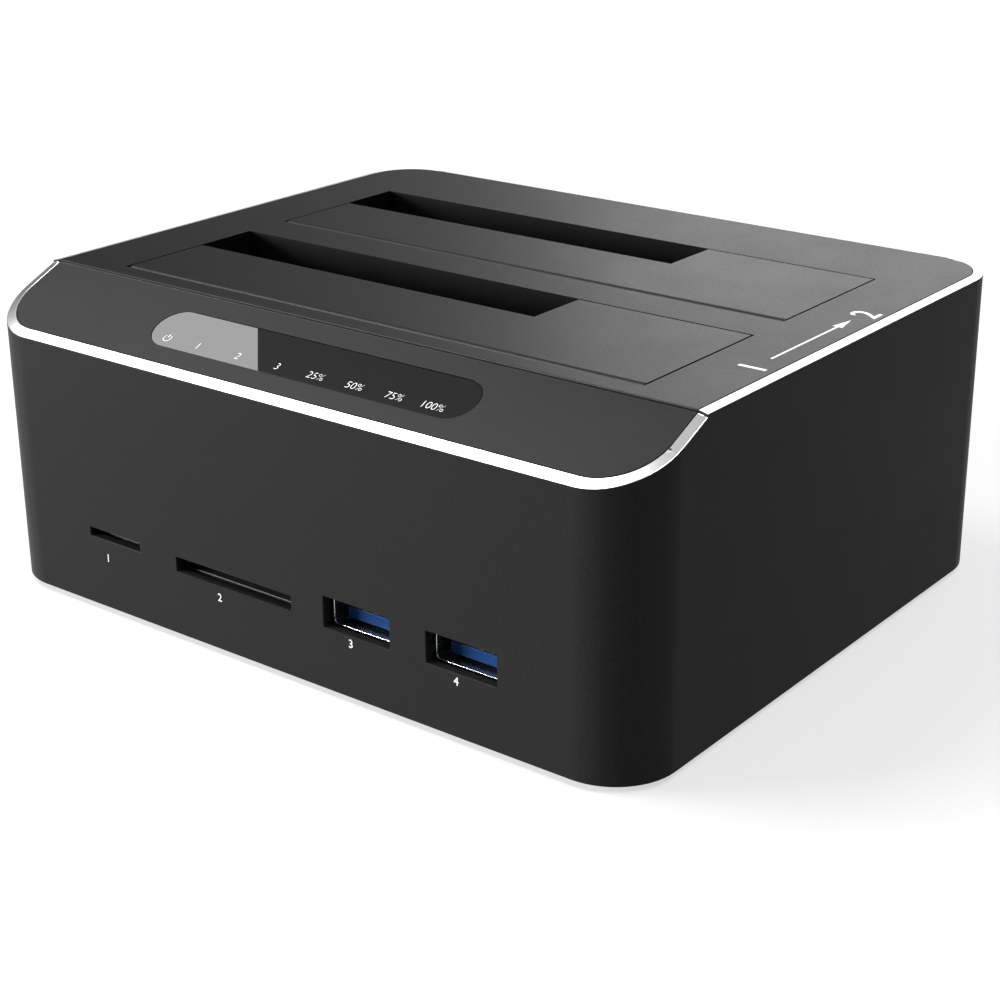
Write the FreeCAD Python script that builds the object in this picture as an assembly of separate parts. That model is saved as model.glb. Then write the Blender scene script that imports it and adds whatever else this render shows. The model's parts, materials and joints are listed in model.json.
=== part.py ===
import FreeCAD, Part
import math
import os

# A drive duplicator: a desktop dock with two drive bays that copies one drive to the other.
# Lengths are millimetres. x runs from the left face, y from the front face and z from the sleeve's lower
# edge. save() then moves each piece to the part's own frame: +Z up, origin on the surface that the feet
# stand on, under the middle of the housing.

V = FreeCAD.Vector
ALONG_X = V(1, 0, 0)
ALONG_Y = V(0, 1, 0)
UP = V(0, 0, 1)

# Joining and cutting: how far fused forms sink into each other, how far a cut runs past a face, and the
# smallest distance that counts
weld = 0.1
past = 1.0
hair = 0.01

# Snap fits: play round a hook, play under its lip, and the hooks that hold the two circuit boards
snap_gap = 0.1
seat_gap = 0.05
board_hook_width = 5.0
board_hook_wall = 1.4
board_hook_reach = 0.8
board_hook_lip = 1.2

# Housing: an aluminium sleeve, cut flat on top with a slope in front
width = 130.0
depth = 106.9
flat_top = 51.4
front_height = 43.8
crease_y = 16.1
crease_step = 0.4
corner_radius = 10.4
sleeve_wall = 1.6
rail_width = 4.0
rail_proud = 2.2
rail_inset = 27.0
rail_sink = 0.4

# Top cover: a moulding that drops into the sleeve and rests on its rails
cover_gap = 0.1
cover_plate = 2.2
cover_skirt = 1.6
cover_skirt_drop = 5.0
crease_radius = 0.35

# Drives and the bays that take them. A share is a part of the housing's width or depth, here and below:
# the bays' depth leaves a drive 26.1 thick 3 mm of play
drive_width = 101.6
drive_gap = 0.85
small_drive_width = 69.85
small_drive_gap = 0.9
bay_offset = 0.49
bay_front_share = 0.18569
bay_depth_share = 0.27222
bay_pitch_share = 0.35173
slot_depth = 11.86
bay_wall = 1.5
bay_skirt = 9.0
front_relief = 1.2
well_floor = 18.0
well_rib = 0.8
well_rib_width = 2.0
well_rib_inset = 2.0

# Hooks on the cover's skirts, and the windowed tabs of the wells that click over them
hook_width = 6.0
hook_reach = 0.9
hook_rise = 3.2
hook_height = 1.8
hook_lip = 0.4
tab_width = 9.0
tab_thickness = 1.2
tab_rise = 4.6
tab_root = 4.0

# Doors, hinged along their front edges
door_gap = 0.3
hinge_gap = 0.2
hinge_radius = 1.3
door_thickness = 1.9
door_rib = 0.8
door_rib_width = 1.0
door_rib_inset = 0.6
door_rib_start = 3.0
door_ribs = 6
stop_reach = 0.6
stop_gap = 0.05
stop_width = 9.0
stop_thickness = 1.2
stop_root = 3.0
stop_inset = 10.0
stop_side_gap = 0.5
stop_room = 0.3
pin_radius = 0.6
pin_clearance = 0.05
ear_width = 3.0
ear_depth = 2.0
keeper_gap = 0.05
keeper_root = 2.0

# Door springs, wound round the hinge pins
spring_wire = 0.26
spring_sides = 4
spring_fit = 0.02
spring_clear = 0.1
spring_turns = 2
spring_pitch = 0.4
spring_lean = 50.0
spring_gap = 0.01
spring_inset = 12.0
spring_room = 1.2
spring_arm = 7.0
spring_arm_room = 0.5

# Main board
board_top = 9.95
board_thickness = 1.6
board_side_gap = 10.9
board_end_gap = 2.0
board_hold_front = 21.0
board_hold_rear = 20.9
board_notch = 1.3
post_size = 5.6
post_inset = 6.0

# Base plate, feet and screws
base_recess = 0.3
base_plate = 2.0
base_gap = 0.15
base_lip = 1.6
base_lip_height = 4.0
column_size = 6.5
column_inset = 8.84
column_front = 8.0
column_split = 22.0
foot_radius = 5.0
foot_proud = 1.0
vent_slots = 9
vent_width = 2.0
vent_length = 36.0
vent_pitch = 6.0

case_screw_radius = 1.5
case_screw_head_radius = 2.6
case_screw_head = 1.5
case_screw_sink = 0.1
case_screw_bite = 12.0
screw_end_gap = 1.0
screw_clearance = 0.2
driver_span = 0.6
driver_width = 0.6
driver_depth = 0.6

# Indicator strip on the slope
lens_length = 64.0
lens_width = 8.5
lens_y = 8.7
lens_gap = 0.08
lens_drop = 0.05
lens_ledge = 1.4
guide_length = 61.0
guide_width = 7.4
guide_height = 3.4
guide_margin = 0.8
lamp_count = 8
lamp_pitch = 7.63
lamp_window = 5.4
lamp_window_height = 3.6
lamp_length = 2.0
lamp_width = 1.25
lamp_height = 0.8
lamp_room = 1.0
indicator_board_length = 76.0
indicator_board_width = 9.0
indicator_board_thickness = 1.0
cable_side_gap = 0.5
cable_edge = 0.7
cable_thickness = 0.3
cable_bend = 0.9
cable_socket_depth = 2.6
cable_socket_height = 1.4
cable_socket_y = 13.4

# Card slots and their sockets
micro_share = 0.22154
micro_width = 11.64
micro_height = 1.5
micro_level = 2.9
micro_length = 15.0
card_share = 0.42485
card_width = 24.6
card_height = 2.47
card_level = 2.28
card_length = 26.0
card_setback = 0.9
card_wall = 1.1
card_lid = 0.3
card_lid_setback = 0.5
card_contact_length = 4.0
card_contact_thickness = 0.25
micro_contacts = 8
card_contacts = 9

# USB-A sockets
usb_shares = (0.62023, 0.77231)
usb_cut_width = 12.91
usb_cut_height = 5.07
usb_shell_width = 13.1
usb_shell_height = 5.72
usb_shell_wall = 0.3
usb_shell_radius = 0.9
usb_shell_length = 14.0
usb_setback = 0.7
usb_tongue_width = 10.1
usb_tongue_thickness = 1.84
usb_tongue_drop = 0.15
usb_tongue_setback = 1.7
usb_core_length = 5.0
usb_contacts = 5
usb_contact_pitch = 2.0
usb_contact_width = 0.8
usb_contact_thickness = 0.12
usb_contact_setback = 0.5

# SATA sockets
sata_from_drive_edge = 30.12
sata_from_drive_back = 3.5
drive_back_gap = 0.5
sata_length = 40.0
sata_width = 6.4
sata_top = 22.4
sata_signal_length = 10.6
sata_power_length = 21.0
sata_slot_width = 2.2
sata_slot_gap = 1.8
sata_slot_depth = 5.5
sata_key = 1.1
sata_post_length = 2.4
sata_post_rise = 2.0
sata_post_taper = 1.0
sata_floor_gap = 0.3
sata_signal_contacts = 7
sata_power_contacts = 15
sata_contact_pitch = 1.27
sata_contact_width = 0.6
sata_contact_thickness = 0.3
sata_contact_drop = 0.6

# Rear sockets and buttons, all on one line
rear_line = 6.5
rear_cut_gap = 0.25
socket_gap = 0.2
dc_share = 0.84615
dc_width = 9.0
dc_height = 11.0
dc_length = 13.5
dc_nose_radius = 4.2
dc_nose = 1.4
dc_bore_radius = 3.2
dc_bore_depth = 9.0
dc_pin_radius = 1.0
dc_pin_setback = 0.8
usb_b_share = 0.67692
usb_b_width = 12.2
usb_b_height = 12.8
usb_b_length = 14.0
usb_b_wall = 0.35
usb_b_low_width = 8.5
usb_b_low_height = 7.8
usb_b_high_width = 5.8
usb_b_high_height = 2.6
usb_b_chamfer = 1.2
usb_b_mouth_depth = 9.0
usb_b_tongue_width = 5.6
usb_b_tongue_height = 3.2
usb_b_tip_height = 0.9
usb_b_tip_inset = 0.8
usb_b_tongue_setback = 1.5
usb_b_core_setback = 0.3
usb_b_lip = 0.5
power_share = 0.18462
power_button_radius = 4.0
power_travel = 2.2
power_body_width = 8.4
copy_share = 0.33846
copy_button_radius = 2.6
copy_travel = 1.0
copy_body_width = 6.4
copy_body_length = 6.0
button_gap = 0.2
button_length = 5.6
button_edge = 0.4
button_setback = 0.1
plunger_width = 2.6
plunger_length = 2.4
plunger_gap = 0.1
plunger_room = 0.3
switch_gap = 0.5
switch_clearance = 0.45

# Parts on the main board: a size is a length, a width and a height, and a place is a share of the
# housing's width and one of its depth
bridge_chip = ((12.0, 12.0, 1.2), (0.51, 0.59))
hub_chip = ((9.0, 9.0, 0.9), (0.69, 0.24))
card_chip = ((6.0, 6.0, 0.9), (0.215, 0.25))
memory_chip = ((5.0, 4.0, 1.6), (0.645, 0.58))
chip_edge = 0.15
chip_corner = 0.3
coil_size = (7.0, 7.0, 4.2)
coil_corner = 1.4
coil_places = ((0.815, 0.69), (0.815, 0.595))
crystal_size = (11.0, 4.4, 3.6)
crystal_corner = 1.5
crystal_places = ((0.51, 0.685), (0.8, 0.25))
capacitor_radius = 4.0
capacitor_height = 11.5
capacitor_places = ((0.51, 0.898), (0.43, 0.898))

# Worked out from the sizes above
slope = math.atan2(flat_top - crease_step - front_height, crease_y)
bay_width = drive_width + 2 * drive_gap
slot_width = small_drive_width + 2 * small_drive_gap
bay_left = (width - bay_width) / 2 + bay_offset
bay_right = bay_left + bay_width
bay_depth = bay_depth_share * depth
bay_fronts = (bay_front_share * depth, (bay_front_share + bay_pitch_share) * depth)
bays_rear = bay_fronts[1] + bay_depth + bay_wall
hinge_back = hinge_gap + hinge_radius
hinge_z = flat_top - hinge_radius
spring_radius = pin_radius + spring_wire / 2 + spring_fit
skirt_bottom = front_height - cover_skirt_drop
well_top = flat_top - bay_skirt
board_bottom = board_top - board_thickness
base_top = base_recess + base_plate
lip_top = base_recess + base_plate + base_lip_height
micro_x = micro_share * width
card_x = card_share * width
usb_x = tuple(share * width for share in usb_shares)
cable_left = card_x + card_width / 2 + card_wall + cable_side_gap
cable_right = usb_x[0] - usb_shell_width / 2 - cable_side_gap
cable_x = (cable_left + cable_right) / 2
dc_x = dc_share * width
usb_b_x = usb_b_share * width
power_x = power_share * width
copy_x = copy_share * width
button_back = depth - button_setback - button_length
power_body_length = button_back - power_travel - switch_gap - switch_clearance - bays_rear
sata_x = bay_left + drive_gap + sata_from_drive_edge
rear_z = board_top + rear_line
rear_inside = depth - sleeve_wall
guide_bottom = -cover_plate - guide_height
indicator_board_bottom = guide_bottom - indicator_board_thickness
column_places = tuple((x, y) for x in (column_inset, width - column_inset)
                      for y in (column_front, depth - column_front))
board_left = sleeve_wall + board_side_gap
board_right = width - board_left
board_front = sleeve_wall + board_end_gap
board_rear = depth - board_front
board_holds = (board_hold_front, depth - board_hold_rear)
case_screw_places = (column_places[0], column_places[-1])


def block(x0, x1, y0, y1, z0, z1):
    return Part.makeBox(x1 - x0, y1 - y0, z1 - z0, V(x0, y0, z0))


def standing(x, y, z0, z1, radius):
    return Part.makeCylinder(radius, z1 - z0, V(x, y, z0), UP)


def lying_back(x, z, y0, y1, radius):
    return Part.makeCylinder(radius, y1 - y0, V(x, y0, z), ALONG_Y)


def lying_across(y, z, x0, x1, radius):
    return Part.makeCylinder(radius, x1 - x0, V(x0, y, z), ALONG_X)


def square_post(x, y, z0, z1, size):
    return block(x - size / 2, x + size / 2, y - size / 2, y + size / 2, z0, z1)


def block_across(x, z, wide, high, y0, y1):
    return block(x - wide / 2, x + wide / 2, y0, y1, z - high / 2, z + high / 2)


def tapered(x, y, z0, z1, low, high):
    shape = Part.makeWedge(-low[0] / 2, z0, -low[1] / 2, -high[1] / 2, -high[0] / 2,
                           low[0] / 2, z1, low[1] / 2, high[1] / 2, high[0] / 2)
    shape.rotate(V(0, 0, 0), ALONG_X, 90)
    shape.translate(V(x, y, 0))
    return shape


def joined(shapes):
    first, rest = shapes[0], shapes[1:]
    return first.fuse(rest).removeSplitter() if rest else first


def prism(points, direction):
    return Part.Face(Part.makePolygon([*points, points[0]])).extrude(direction)


def upright_edges(shape):
    def is_upright(edge):
        run = edge.Vertexes[-1].Point - edge.Vertexes[0].Point
        return math.hypot(run.x, run.y) < hair < run.Length
    return [edge for edge in shape.Edges if is_upright(edge)]


def round_block(x0, x1, y0, y1, z0, z1, radius):
    shape = block(x0, x1, y0, y1, z0, z1)
    return shape.makeFillet(radius, upright_edges(shape))


def cut_corner_block(x, y, z0, size, corner):
    length, across, high = size
    shape = block(x - length / 2, x + length / 2, y - across / 2, y + across / 2, z0, z0 + high)
    return shape.makeChamfer(corner, upright_edges(shape))


def plan_prism(inset, z0, z1):
    radius = corner_radius - inset
    return round_block(inset, width - inset, inset, depth - inset, z0, z1, radius)


def save(name, shapes):
    solids = shapes if isinstance(shapes, list) else [shapes]
    pieces = [solid.copy() for solid in solids]
    for piece in pieces:
        piece.translate(V(-width / 2, -depth / 2, foot_proud))
    shape = pieces[0] if len(pieces) == 1 else Part.makeCompound(pieces)
    shape.exportStep("parts/" + name + ".step")


# Top surface: the slope from the front, the small step up at the crease, then the flat

def slope_height(y, drop):
    return front_height + y * math.tan(slope) - drop / math.cos(slope)


def below_top(drop):
    start = -past
    finish = depth + past
    points = [V(-past, start, -past), V(-past, start, slope_height(start, drop)),
              V(-past, crease_y, slope_height(crease_y, drop)), V(-past, crease_y, flat_top - drop),
              V(-past, finish, flat_top - drop), V(-past, finish, -past)]
    return prism(points, V(width + 2 * past, 0, 0))


def on_slope(shape):
    placed = shape.copy()
    placed.rotate(V(0, 0, 0), ALONG_X, math.degrees(slope))
    placed.translate(V(width / 2, lens_y, slope_height(lens_y, 0)))
    return placed


def stadium(length, across, z0, z1):
    return round_block(-length / 2, length / 2, -across / 2, across / 2, z0, z1, across / 2 - hair)


# Housing sleeve

def port_cuts():
    reach = sleeve_wall + past
    cuts = [block_across(x, board_top + usb_shell_height / 2, usb_cut_width, usb_cut_height, -past, reach)
            for x in usb_x]
    for x, wide, high, level in ((micro_x, micro_width, micro_height, micro_level),
                                 (card_x, card_width, card_height, card_level)):
        cuts.append(block_across(x, board_top + level, wide, high, -past, reach))
    return cuts


def round_block_across(x, z, wide, high, y0, y1, radius):
    shape = block(-wide / 2, wide / 2, -high / 2, high / 2, y0, y1)
    shape = shape.makeFillet(radius, upright_edges(shape))
    shape.rotate(V(0, 0, 0), ALONG_X, -90)
    shape.translate(V(x, 0, z))
    return shape


def rear_cuts():
    start = rear_inside - past
    finish = depth + past
    return [lying_back(dc_x, rear_z, start, finish, dc_nose_radius + rear_cut_gap),
            lying_back(power_x, rear_z, start, finish, power_button_radius + button_gap),
            lying_back(copy_x, rear_z, start, finish, copy_button_radius + button_gap),
            block_across(usb_b_x, board_top + usb_b_height / 2, usb_b_width - 2 * usb_b_lip,
                         usb_b_height - 2 * usb_b_lip, start, finish)]


def sleeve_rails():
    rails = []
    for x0, x1 in ((sleeve_wall - rail_sink, sleeve_wall + rail_proud),
                   (width - sleeve_wall - rail_proud, width - sleeve_wall + rail_sink)):
        for y in (rail_inset, depth - rail_inset):
            rails.append(block(x0, x1, y - rail_width / 2, y + rail_width / 2, lip_top, skirt_bottom))
    return rails


def make_housing_sleeve():
    shell = plan_prism(0, 0, flat_top).cut(plan_prism(sleeve_wall, -past, flat_top + past))
    shell = shell.common(below_top(0))
    return joined([shell, *sleeve_rails()]).cut([*port_cuts(), *rear_cuts()])


# Top cover

def bay_opening(front, z0, z1):
    return block(bay_left, bay_right, front, front + bay_depth, z0, z1)


def bay_skirt_ring(front):
    ears = ear_width - bay_wall
    rear = front + bay_depth
    under = flat_top - cover_plate
    outer = block(bay_left - bay_wall, bay_right + bay_wall, front - front_relief - bay_wall,
                  rear + bay_wall, well_top, under)
    hinge_y = front + hinge_back
    blocks = [block(x0, x1, hinge_y - ear_depth, hinge_y + ear_depth, well_top, under)
              for x0, x1 in ((bay_left - bay_wall - ears, bay_left), (bay_right, bay_right + bay_wall + ears))]
    inner = block(bay_left, bay_right, front - front_relief, rear, well_top - past, under)
    return joined([outer, *blocks]).cut(inner)


def pin_grooves(front):
    y = front + hinge_back
    grooves = []
    for x0, x1 in ((bay_left - ear_width, bay_left), (bay_right, bay_right + ear_width)):
        grooves.append(lying_across(y, hinge_z, x0, x1, pin_radius))
        grooves.append(block(x0, x1, y - pin_radius, y + pin_radius, well_top - past, hinge_z))
    return grooves


def stop_span():
    start = bay_left + slot_width + stop_inset
    return start, start + stop_width


def stop_pocket(front):
    x0, x1 = stop_span()
    rear = front + bay_depth
    return block(x0 - stop_side_gap, x1 + stop_side_gap, rear - weld, rear + stop_reach + stop_room,
                 well_top - past, flat_top - cover_plate)


def skirt_sides():
    return (bay_left - bay_wall, -1), (bay_right + bay_wall, 1)


def well_hooks(front):
    start = front + bay_depth / 2 - hook_width / 2
    top = well_top + hook_rise
    hooks = []
    for face, way in skirt_sides():
        root = face - way * weld
        tip = face + way * hook_reach
        points = [V(root, start, top), V(tip, start, top), V(tip, start, top - hook_lip),
                  V(root, start, top - hook_height)]
        hooks.append(prism(points, V(0, hook_width, 0)))
    return hooks


def lens_window():
    seat = stadium(lens_length, lens_width, -lens_ledge, past)
    long = guide_length / 2 - guide_margin
    across = guide_width / 2 - guide_margin
    through = block(-long, long, -across, across, -cover_plate - past, 0)
    return [on_slope(seat), on_slope(through)]


def hook_profile(way, edge, root, seat, lip):
    outer = edge + way * board_hook_wall
    start = -board_hook_width / 2
    points = [V(edge, start, root), V(edge, start, seat), V(edge - way * board_hook_reach, start, seat),
              V(edge, start, seat + lip), V(outer, start, seat + lip), V(outer, start, root)]
    return prism(points, V(0, board_hook_width, 0))


def indicator_board_hooks():
    edge = indicator_board_length / 2 + snap_gap
    seat = indicator_board_bottom - seat_gap
    return [on_slope(hook_profile(way, way * edge, weld - cover_plate, seat, -board_hook_lip))
            for way in (-1, 1)]


def cover_shell():
    edge = sleeve_wall + cover_gap
    shell = plan_prism(edge, skirt_bottom, flat_top).common(below_top(0))
    hollow = plan_prism(edge + cover_skirt, skirt_bottom - past, flat_top).common(below_top(cover_plate))
    shell = shell.cut(hollow)
    step_edges = [e for e in shell.Edges
                  if abs(e.BoundBox.YMin - crease_y) < hair and abs(e.BoundBox.YMax - crease_y) < hair
                  and abs(e.BoundBox.ZMin - flat_top) < hair and e.Length > width / 2]
    return shell.makeFillet(crease_radius, step_edges)


def make_top_cover():
    posts = [square_post(x, y, column_split, flat_top, column_size).common(below_top(cover_plate - weld))
             for x, y in column_places]
    parts = [cover_shell(), *posts, *indicator_board_hooks()]
    cuts = [standing(x, y, column_split - past, column_split + case_screw_bite, case_screw_radius)
            for x, y in case_screw_places]
    for front in bay_fronts:
        parts += [bay_skirt_ring(front), *well_hooks(front)]
        cuts += [bay_opening(front, flat_top - cover_plate - past, flat_top + past), stop_pocket(front),
                 *pin_grooves(front)]
    return joined(parts).cut([*cuts, *lens_window()])


# Doors

def door_outline(front):
    left = bay_left + door_gap
    right = bay_right - door_gap
    start = front + hinge_back
    rear = front + bay_depth - door_gap
    notch_y = front + bay_depth - slot_depth
    notch_x = bay_left + slot_width
    return [V(left, start, 0), V(right, start, 0), V(right, rear, 0), V(notch_x, rear, 0),
            V(notch_x, notch_y, 0), V(left, notch_y, 0)]


def door_rib_blocks(front):
    top = flat_top - door_thickness
    start = front + hinge_back + door_rib_start
    first = bay_left + door_gap + door_rib_inset
    last = bay_right - door_gap - door_rib_inset - door_rib_width
    ribs = []
    for k in range(door_ribs):
        x = first + (last - first) * k / (door_ribs - 1)
        behind_slot = x > bay_left + slot_width
        rear = front + bay_depth - (door_gap if behind_slot else slot_depth)
        ribs.append(block(x, x + door_rib_width, start, rear - door_rib_inset, top - door_rib, top))
    finish = spring_span()[0] - spring_arm_room
    ribs.append(block(first, finish, start, start + door_rib_width, top - door_rib, top))
    return ribs


def door_stop(front):
    x0, x1 = stop_span()
    rear = front + bay_depth - door_gap
    top = flat_top - cover_plate - stop_gap
    root = block(x0, x1, rear - stop_root, rear, top - stop_thickness, flat_top - door_thickness)
    tip = block(x0, x1, rear, front + bay_depth + stop_reach, top - stop_thickness, top)
    return [root, tip]


def spring_span():
    middle = bay_right - spring_inset
    half = spring_turns * spring_pitch / 2 + spring_room
    return middle - half, middle + half


def make_door(front):
    y = front + hinge_back
    left = bay_left + door_gap
    right = bay_right - door_gap
    top = flat_top - door_thickness
    outline = [V(p.x, p.y, top) for p in door_outline(front)]
    plate = prism(outline, V(0, 0, door_thickness))
    barrel = lying_across(y, hinge_z, left, right, hinge_radius)
    door = joined([plate, barrel, *door_rib_blocks(front), *door_stop(front)])
    x0, x1 = spring_span()
    bore = lying_across(y, hinge_z, left - past, right + past, pin_radius + pin_clearance)
    room = spring_radius + spring_wire / 2 + spring_clear
    low = hinge_z - hinge_radius - past
    gap = lying_across(y, hinge_z, x0, x1, room)
    gap_below = block(x0, x1, y - hinge_radius - past, y + room, low, hinge_z)
    arm_way = block(x0, x1, y, y + hinge_radius + spring_arm_room, low, top)
    return door.cut([bore, gap, gap_below, arm_way])


def make_hinge_pin(front):
    return lying_across(front + hinge_back, hinge_z, bay_left - ear_width, bay_right + ear_width, pin_radius)


def make_door_spring(front):
    lean = math.radians(spring_lean)
    turns = spring_turns - spring_lean / 360
    drift = spring_pitch / (2 * math.pi * spring_radius)
    coil = Part.makeHelix(spring_pitch, spring_pitch * turns, spring_radius)
    coil.rotate(V(0, 0, 0), ALONG_Y, 90)
    coil.rotate(V(0, 0, 0), ALONG_X, spring_lean)
    start = V(0, spring_radius * math.sin(lean), -spring_radius * math.cos(lean))
    finish = V(spring_pitch * turns, 0, -spring_radius)
    wall_reach = hinge_back + front_relief - spring_wire / 2 - spring_gap
    fixed_arm = (wall_reach + start.y) / math.cos(lean)
    rise = V(drift, math.cos(lean), math.sin(lean))
    first = start - rise * fixed_arm
    last = finish + V(drift, 1, 0) * spring_arm
    path = Part.Wire([Part.makeLine(first, start), *coil.Edges, Part.makeLine(finish, last)])
    section = Part.makePolygon([V(math.cos(a), math.sin(a), 0) * (spring_wire / 2)
                                for a in (2 * math.pi * k / spring_sides for k in range(spring_sides + 1))])
    section.Placement = FreeCAD.Placement(first, FreeCAD.Rotation(UP, rise))
    spring = path.makePipeShell([section], True, False)
    spring.translate(V(spring_span()[0] + spring_room, front + hinge_back, hinge_z))
    return spring


# Drive wells

def snap_tabs(front):
    y = front + bay_depth / 2
    low = well_top - tab_root
    tabs = []
    windows = []
    for face, way in skirt_sides():
        near = face + way * snap_gap
        far = near + way * tab_thickness
        x0, x1 = sorted((near, far))
        tabs.append(block(x0, x1, y - tab_width / 2, y + tab_width / 2, low, well_top + tab_rise))
        root = sorted((face - way * weld, far))
        tabs.append(block(*root, y - tab_width / 2, y + tab_width / 2, low, well_top - snap_gap))
        windows.append(block(x0 - weld, x1 + weld, y - hook_width / 2 - snap_gap, y + hook_width / 2 + snap_gap,
                             well_top + hook_rise - hook_height - snap_gap, well_top + hook_rise + seat_gap))
    return tabs, windows


def pin_keepers(front):
    y = front + hinge_back
    keeper = pin_radius - keeper_gap
    return [block(x0, x1, y - keeper, y + keeper, well_top - keeper_root, hinge_z - pin_radius)
            for x0, x1 in ((bay_left - bay_wall, bay_left), (bay_right, bay_right + bay_wall))]


def well_ribs(inner_front, rear):
    places = (bay_left + well_rib_inset, bay_left + slot_width + well_rib_inset,
              bay_right - well_rib_inset - well_rib_width)
    return [block(x, x + well_rib_width, inner_front, rear, well_floor - weld, well_floor + well_rib)
            for x in places]


def make_drive_well(front):
    rear = front + bay_depth
    inner_front = front - front_relief
    floor = well_floor - bay_wall
    outer = block(bay_left - bay_wall, bay_right + bay_wall, inner_front - bay_wall, rear + bay_wall,
                  floor, well_top)
    inner = block(bay_left, bay_right, inner_front, rear, well_floor, well_top + past)
    tabs, windows = snap_tabs(front)
    well = joined([outer.cut(inner), *tabs, *pin_keepers(front), *well_ribs(inner_front, rear)])
    half_length = sata_length / 2 + sata_floor_gap
    half_width = sata_width / 2 + sata_floor_gap
    y = sata_y(front)
    socket_window = block(sata_x - half_length, sata_x + half_length, y - half_width, y + half_width,
                          floor - past, well_floor + past)
    return well.cut([socket_window, *windows])


# Base plate and feet

def base_vents():
    vents = []
    for k in range(vent_slots):
        x = width / 2 + (k - (vent_slots - 1) / 2) * vent_pitch
        vents.append(block(x - vent_width / 2, x + vent_width / 2, depth / 2 - vent_length / 2,
                           depth / 2 + vent_length / 2, -past, base_top + past))
    return vents


def main_board_hooks():
    hooks = []
    for way, edge in ((-1, board_left), (1, board_right)):
        for y in board_holds:
            inner = edge - way * (board_notch - snap_gap)
            hook = hook_profile(way, inner, base_top - weld, board_top + seat_gap, board_hook_lip)
            hook.translate(V(0, y, 0))
            hooks.append(hook)
    return hooks


def make_base_plate():
    edge = sleeve_wall + base_gap
    plate = plan_prism(edge, base_recess, lip_top)
    plate = plate.cut(plan_prism(edge + base_lip, base_top, lip_top + past))
    columns = [square_post(x, y, base_top - weld, column_split, column_size) for x, y in column_places]
    posts = [square_post(x, y, base_top - weld, board_bottom, post_size)
             for x in (board_left + post_inset, board_right - post_inset) for y in board_holds]
    cuts = base_vents()
    for x, y in case_screw_places:
        cuts.append(standing(x, y, -past, column_split + past, case_screw_radius + screw_clearance))
        cuts.append(countersink(x, y))
    return joined([plate, *columns, *posts, *main_board_hooks()]).cut(cuts)


def countersink(x, y):
    high = case_screw_head + case_screw_sink
    return Part.makeCone(case_screw_head_radius + screw_clearance, case_screw_radius + screw_clearance, high,
                         V(x, y, base_recess), UP)


def make_feet():
    return [standing(x, y, -foot_proud, base_recess, foot_radius) for x, y in column_places]


# Case screws, driven up through the base plate under two of the feet

def make_case_screws():
    screws = []
    seat = base_recess + case_screw_sink
    long = case_screw_head_radius * driver_span
    short = driver_width / 2
    for x, y in case_screw_places:
        head = Part.makeCone(case_screw_head_radius, case_screw_radius, case_screw_head, V(x, y, seat), UP)
        shank = standing(x, y, seat + case_screw_head, column_split + case_screw_bite - screw_end_gap,
                         case_screw_radius)
        recess = [block(x - a, x + a, y - b, y + b, seat, seat + driver_depth)
                  for a, b in ((long, short), (short, long))]
        screws.append(joined([head, shank]).cut(recess))
    return screws


# Indicator strip

def make_indicator_lens():
    return on_slope(stadium(lens_length - 2 * lens_gap, lens_width - 2 * lens_gap, -lens_ledge, -lens_drop))


def lamp_places():
    return [(k - (lamp_count - 1) / 2) * lamp_pitch for k in range(lamp_count)]


def make_light_guide():
    top = -cover_plate
    body = block(-guide_length / 2, guide_length / 2, -guide_width / 2, guide_width / 2, guide_bottom, top)
    low = (lamp_length + lamp_room, lamp_width + lamp_room)
    windows = [tapered(x, 0, guide_bottom, top, low, (lamp_window, lamp_window_height)) for x in lamp_places()]
    return on_slope(body.cut(windows))


def make_indicator_lamps():
    return [on_slope(block(x - lamp_length / 2, x + lamp_length / 2, -lamp_width / 2, lamp_width / 2,
                           guide_bottom, guide_bottom + lamp_height)) for x in lamp_places()]


def make_indicator_board():
    half = indicator_board_length / 2
    return on_slope(block(-half, half, -indicator_board_width / 2, indicator_board_width / 2,
                          indicator_board_bottom, guide_bottom))


# Flat cable from the indicator board straight down to the main board, with one gentle bend

def cable_socket(shift, y, z0, z1):
    half = cable_socket_depth / 2
    return block(cable_left - shift, cable_right - shift, y - half, y + half, z0, z1)


def make_cable_sockets():
    under = indicator_board_bottom
    upper = on_slope(cable_socket(width / 2, 0, under - cable_socket_height, under))
    return [upper, cable_socket(0, cable_socket_y, board_top, board_top + cable_socket_height)]


def make_indicator_cable():
    down = cable_socket_height - indicator_board_bottom
    top = V(cable_x, lens_y + down * math.sin(slope), slope_height(lens_y, 0) - down * math.cos(slope))
    foot = V(cable_x, cable_socket_y, board_top + cable_socket_height)
    to_bend = (cable_socket_y - top.y) / math.sin(slope)
    bend = V(cable_x, cable_socket_y, top.z - to_bend * math.cos(slope))
    tangent = cable_bend * to_bend
    radius = tangent / math.tan(slope / 2)
    back = (top - bend).normalize()
    start = bend + back * tangent
    finish = bend - UP * tangent
    middle_way = (back - UP).normalize()
    middle = bend + middle_way * (radius / math.cos(slope / 2) - radius)
    path = Part.Wire([Part.makeLine(foot, finish), Part.Arc(finish, middle, start).toShape(),
                      Part.makeLine(start, top)])
    x = (cable_right - cable_left) / 2 - cable_edge
    y = cable_thickness / 2
    corners = [foot + V(-x, -y, 0), foot + V(x, -y, 0), foot + V(x, y, 0), foot + V(-x, y, 0)]
    section = Part.makePolygon([*corners, corners[0]])
    return path.makePipeShell([section], True, False)


# Card sockets: a moulded tray with a sheet-metal lid, and contacts on its floor

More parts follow.
